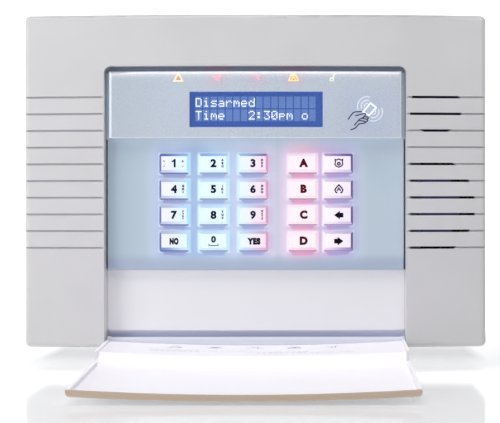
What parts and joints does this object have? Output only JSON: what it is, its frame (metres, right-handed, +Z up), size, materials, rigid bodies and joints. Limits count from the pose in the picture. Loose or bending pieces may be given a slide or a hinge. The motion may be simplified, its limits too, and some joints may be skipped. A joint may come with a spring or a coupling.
{
  "type": "alarm keypad panel",
  "caption": "Wall-mounted alarm control panel with a keypad, a two-line display, wing vents and a drop-down flap that covers the keys.",
  "frame": {"origin": "centre of the casing's back face, which lies on the wall", "axes": "+X to the right as the user sees it, +Y into the wall, +Z up"},
  "size_m": [0.281, 0.1611, 0.2164],
  "materials": {
    "base_plastic": "fine moulded texture",
    "cover_plastic": "fine satin moulding",
    "flap_plastic": "fine satin moulding",
    "liner_plastic": "smooth satin moulding",
    "fascia_plastic": "silver-blue satin paint",
    "display_plastic": "silver-blue satin paint",
    "window": "clear",
    "lcd": "back-lit blue display",
    "black_plastic": "moulded",
    "circuit_board": "solder mask",
    "light_guide": "clear moulding",
    "copper": "enamelled wire",
    "silicone": "translucent silicone",
    "silicone_black": "matt",
    "terminal_plastic": "moulded",
    "module_metal": "tinned screen",
    "cable": "pvc",
    "ribbon": "pvc flat cable",
    "cell_sleeve": "shrink sleeve",
    "cone_paper": "pressed paper",
    "magnet": "ferrite and zinc plate",
    "brass_disc": "thin sheet",
    "screw_steel": "zinc plated",
    "white_plastic": "moulded acetal",
    "key_blue": "translucent, blue-lit",
    "key_pink": "translucent, red-lit",
    "key_violet": "translucent, violet-lit"
  },
  "bodies": {
    "panel": {"back_plate": "base_plastic", "front_cover": "cover_plastic", "fascia": "fascia_plastic", "display_surround": "display_plastic", "display_window": "window", "lcd_glass": "lcd", "lcd_frame": "black_plastic", "lcd_board": "circuit_board", "status_light_guides": "light_guide", "reader_coil": "copper", "reader_board": "circuit_board", "keymat": "silicone", "keypad_board": "circuit_board", "key_leds": "light_guide", "main_board": "circuit_board", "terminal_blocks": "terminal_plastic", "board_components": "black_plastic", "radio_module": "module_metal", "radio_antenna": "cable", "battery_cells": "cell_sleeve", "battery_holder": "black_plastic", "battery_lead": "cable", "speaker_basket": "black_plastic", "speaker_cone": "cone_paper", "speaker_magnet": "magnet", "speaker_screws": "screw_steel", "sounder_case": "black_plastic", "sounder_disc": "brass_disc", "tamper_housing": "black_plastic", "tamper_spring": "screw_steel", "board_screws": "screw_steel", "keypad_board_screws": "screw_steel", "fascia_screws": "screw_steel", "cover_screws": "screw_steel", "hinge_pins": "screw_steel", "keypad_ribbon": "ribbon", "cable_grommet": "silicone_black"},
    "flap": {"flap_shell": "flap_plastic", "flap_liner": "liner_plastic"},
    "tamper_button": {"tamper_plunger": "white_plastic"},
    "key_1_button": {"key_1": "key_blue"},
    "key_2_button": {"key_2": "key_blue"},
    "key_3_button": {"key_3": "key_blue"},
    "key_a_button": {"key_a": "key_pink"},
    "key_alarm_button": {"key_alarm": "key_violet"},
    "key_4_button": {"key_4": "key_blue"},
    "key_5_button": {"key_5": "key_blue"},
    "key_6_button": {"key_6": "key_blue"},
    "key_b_button": {"key_b": "key_pink"},
    "key_fire_button": {"key_fire": "key_violet"},
    "key_7_button": {"key_7": "key_blue"},
    "key_8_button": {"key_8": "key_blue"},
    "key_9_button": {"key_9": "key_blue"},
    "key_c_button": {"key_c": "key_pink"},
    "key_left_button": {"key_left": "key_violet"},
    "key_no_button": {"key_no": "key_blue"},
    "key_0_button": {"key_0": "key_blue"},
    "key_yes_button": {"key_yes": "key_blue"},
    "key_d_button": {"key_d": "key_pink"},
    "key_right_button": {"key_right": "key_violet"}
  },
  "joints": [
    {"name": "flap_hinge", "type": "hinge", "parent": "panel", "child": "flap", "pos_m": [0, -0.0383, -0.0975], "axis": [-1, 0, 0], "range_deg": [0, 93]},
    {"name": "key_1_press", "type": "slide", "parent": "panel", "child": "key_1_button", "axis": [0, 1, 0], "range_m": [0, 0.0012], "stiffness_N_per_m": 800, "springref_m": -0.0008, "deforming": ["keymat"]},
    {"name": "key_2_press", "type": "slide", "parent": "panel", "child": "key_2_button", "axis": [0, 1, 0], "range_m": [0, 0.0012], "stiffness_N_per_m": 800, "springref_m": -0.0008, "deforming": ["keymat"]},
    {"name": "key_3_press", "type": "slide", "parent": "panel", "child": "key_3_button", "axis": [0, 1, 0], "range_m": [0, 0.0012], "stiffness_N_per_m": 800, "springref_m": -0.0008, "deforming": ["keymat"]},
    {"name": "key_a_press", "type": "slide", "parent": "panel", "child": "key_a_button", "axis": [0, 1, 0], "range_m": [0, 0.0012], "stiffness_N_per_m": 800, "springref_m": -0.0008, "deforming": ["keymat"]},
    {"name": "key_alarm_press", "type": "slide", "parent": "panel", "child": "key_alarm_button", "axis": [0, 1, 0], "range_m": [0, 0.0012], "stiffness_N_per_m": 800, "springref_m": -0.0008, "deforming": ["keymat"]},
    {"name": "key_4_press", "type": "slide", "parent": "panel", "child": "key_4_button", "axis": [0, 1, 0], "range_m": [0, 0.0012], "stiffness_N_per_m": 800, "springref_m": -0.0008, "deforming": ["keymat"]},
    {"name": "key_5_press", "type": "slide", "parent": "panel", "child": "key_5_button", "axis": [0, 1, 0], "range_m": [0, 0.0012], "stiffness_N_per_m": 800, "springref_m": -0.0008, "deforming": ["keymat"]},
    {"name": "key_6_press", "type": "slide", "parent": "panel", "child": "key_6_button", "axis": [0, 1, 0], "range_m": [0, 0.0012], "stiffness_N_per_m": 800, "springref_m": -0.0008, "deforming": ["keymat"]},
    {"name": "key_b_press", "type": "slide", "parent": "panel", "child": "key_b_button", "axis": [0, 1, 0], "range_m": [0, 0.0012], "stiffness_N_per_m": 800, "springref_m": -0.0008, "deforming": ["keymat"]},
    {"name": "key_fire_press", "type": "slide", "parent": "panel", "child": "key_fire_button", "axis": [0, 1, 0], "range_m": [0, 0.0012], "stiffness_N_per_m": 800, "springref_m": -0.0008, "deforming": ["keymat"]},
    {"name": "key_7_press", "type": "slide", "parent": "panel", "child": "key_7_button", "axis": [0, 1, 0], "range_m": [0, 0.0012], "stiffness_N_per_m": 800, "springref_m": -0.0008, "deforming": ["keymat"]},
    {"name": "key_8_press", "type": "slide", "parent": "panel", "child": "key_8_button", "axis": [0, 1, 0], "range_m": [0, 0.0012], "stiffness_N_per_m": 800, "springref_m": -0.0008, "deforming": ["keymat"]},
    {"name": "key_9_press", "type": "slide", "parent": "panel", "child": "key_9_button", "axis": [0, 1, 0], "range_m": [0, 0.0012], "stiffness_N_per_m": 800, "springref_m": -0.0008, "deforming": ["keymat"]},
    {"name": "key_c_press", "type": "slide", "parent": "panel", "child": "key_c_button", "axis": [0, 1, 0], "range_m": [0, 0.0012], "stiffness_N_per_m": 800, "springref_m": -0.0008, "deforming": ["keymat"]},
    {"name": "key_left_press", "type": "slide", "parent": "panel", "child": "key_left_button", "axis": [0, 1, 0], "range_m": [0, 0.0012], "stiffness_N_per_m": 800, "springref_m": -0.0008, "deforming": ["keymat"]},
    {"name": "key_no_press", "type": "slide", "parent": "panel", "child": "key_no_button", "axis": [0, 1, 0], "range_m": [0, 0.0012], "stiffness_N_per_m": 800, "springref_m": -0.0008, "deforming": ["keymat"]},
    {"name": "key_0_press", "type": "slide", "parent": "panel", "child": "key_0_button", "axis": [0, 1, 0], "range_m": [0, 0.0012], "stiffness_N_per_m": 800, "springref_m": -0.0008, "deforming": ["keymat"]},
    {"name": "key_yes_press", "type": "slide", "parent": "panel", "child": "key_yes_button", "axis": [0, 1, 0], "range_m": [0, 0.0012], "stiffness_N_per_m": 800, "springref_m": -0.0008, "deforming": ["keymat"]},
    {"name": "key_d_press", "type": "slide", "parent": "panel", "child": "key_d_button", "axis": [0, 1, 0], "range_m": [0, 0.0012], "stiffness_N_per_m": 800, "springref_m": -0.0008, "deforming": ["keymat"]},
    {"name": "key_right_press", "type": "slide", "parent": "panel", "child": "key_right_button", "axis": [0, 1, 0], "range_m": [0, 0.0012], "stiffness_N_per_m": 800, "springref_m": -0.0008, "deforming": ["keymat"]},
    {"name": "tamper_press", "type": "slide", "parent": "panel", "child": "tamper_button", "axis": [0, -1, 0], "range_m": [0, 0.0015], "stiffness_N_per_m": 300, "springref_m": -0.002, "deforming": ["tamper_spring"]}
  ]
}
